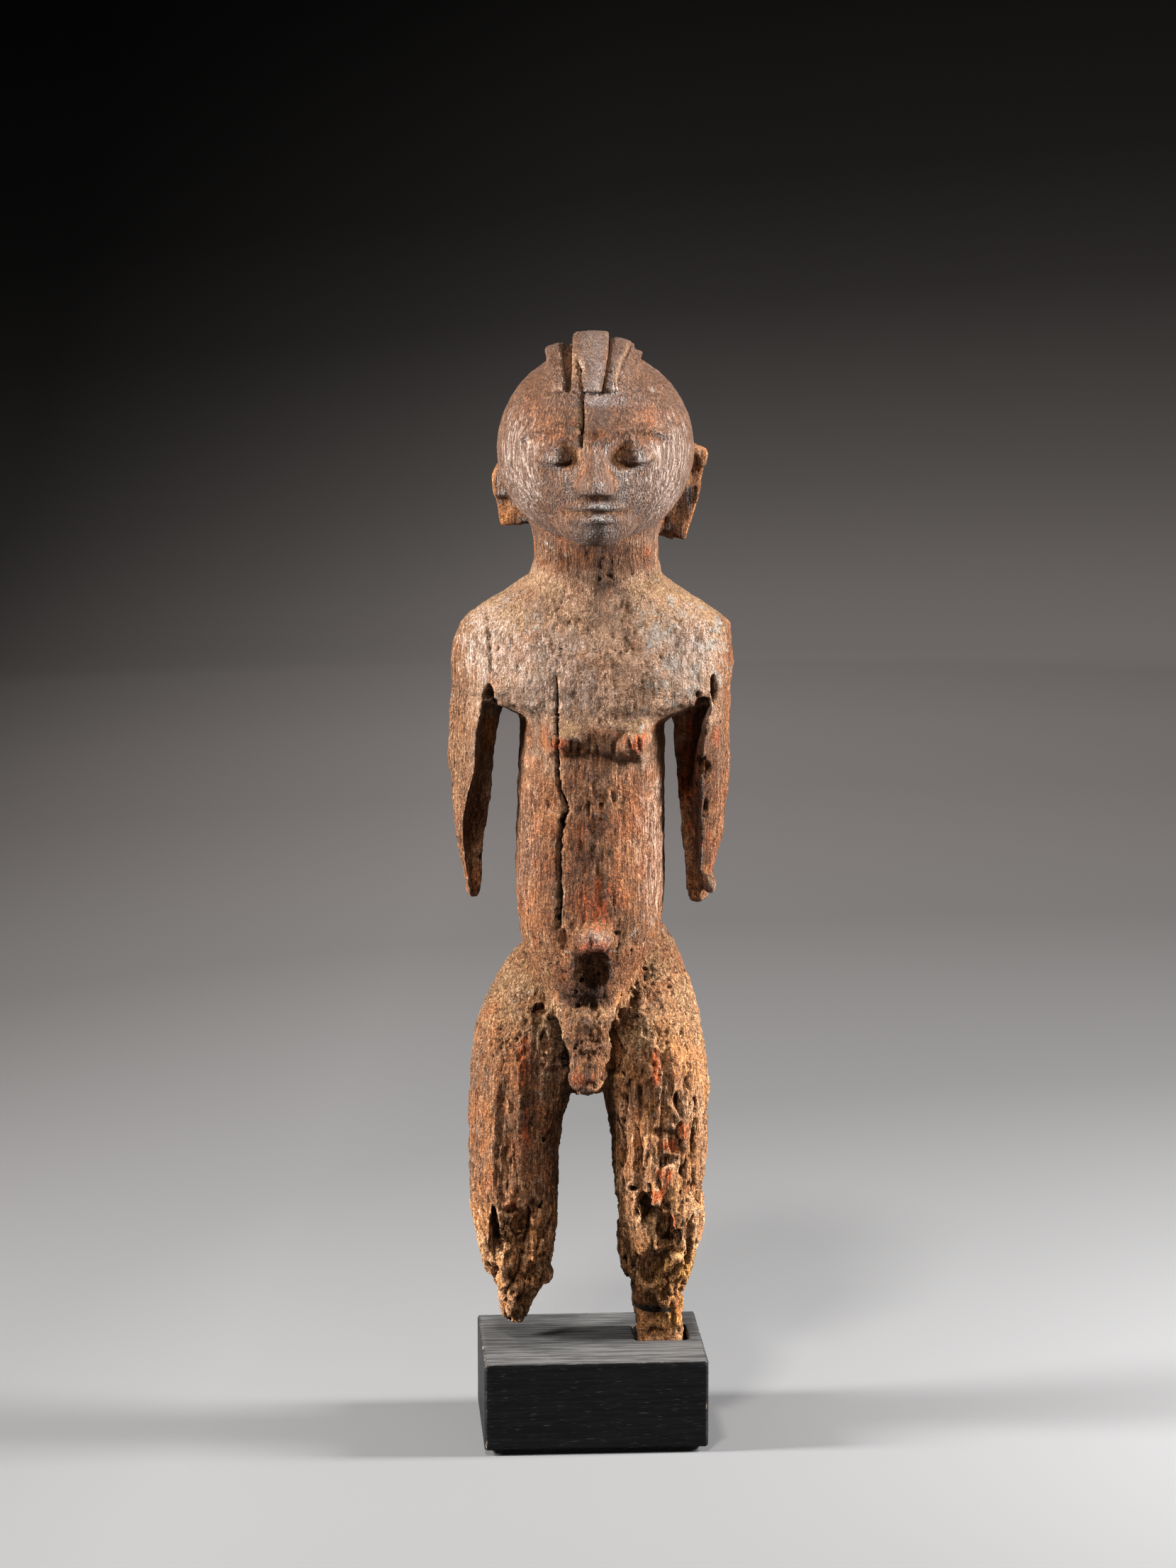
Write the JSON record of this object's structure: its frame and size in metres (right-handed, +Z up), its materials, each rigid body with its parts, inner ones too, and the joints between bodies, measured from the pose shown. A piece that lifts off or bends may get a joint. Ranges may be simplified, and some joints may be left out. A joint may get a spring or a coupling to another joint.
{
  "type": "lobi figure",
  "caption": "Weathered hardwood standing figure with worn arms and legs, its stump set in the mortise of a low black wooden display block.",
  "frame": {"origin": "middle of the underside of the pad below the block", "axes": "+Z up, -Y the front of the block, +X to the right of someone who looks at the front; the figure faces a few degrees off -Y"},
  "size_m": [0.1376, 0.1114, 0.5465],
  "materials": {
    "carved_wood": "weathered, matt, with a worn sheen on the high places",
    "black_wood": "satin black stain over open pores",
    "dark_felt": "matt black felt"
  },
  "bodies": {
    "root": {"figure": "carved_wood", "block": "black_wood", "foot_pad": "dark_felt"}
  },
  "joints": []
}
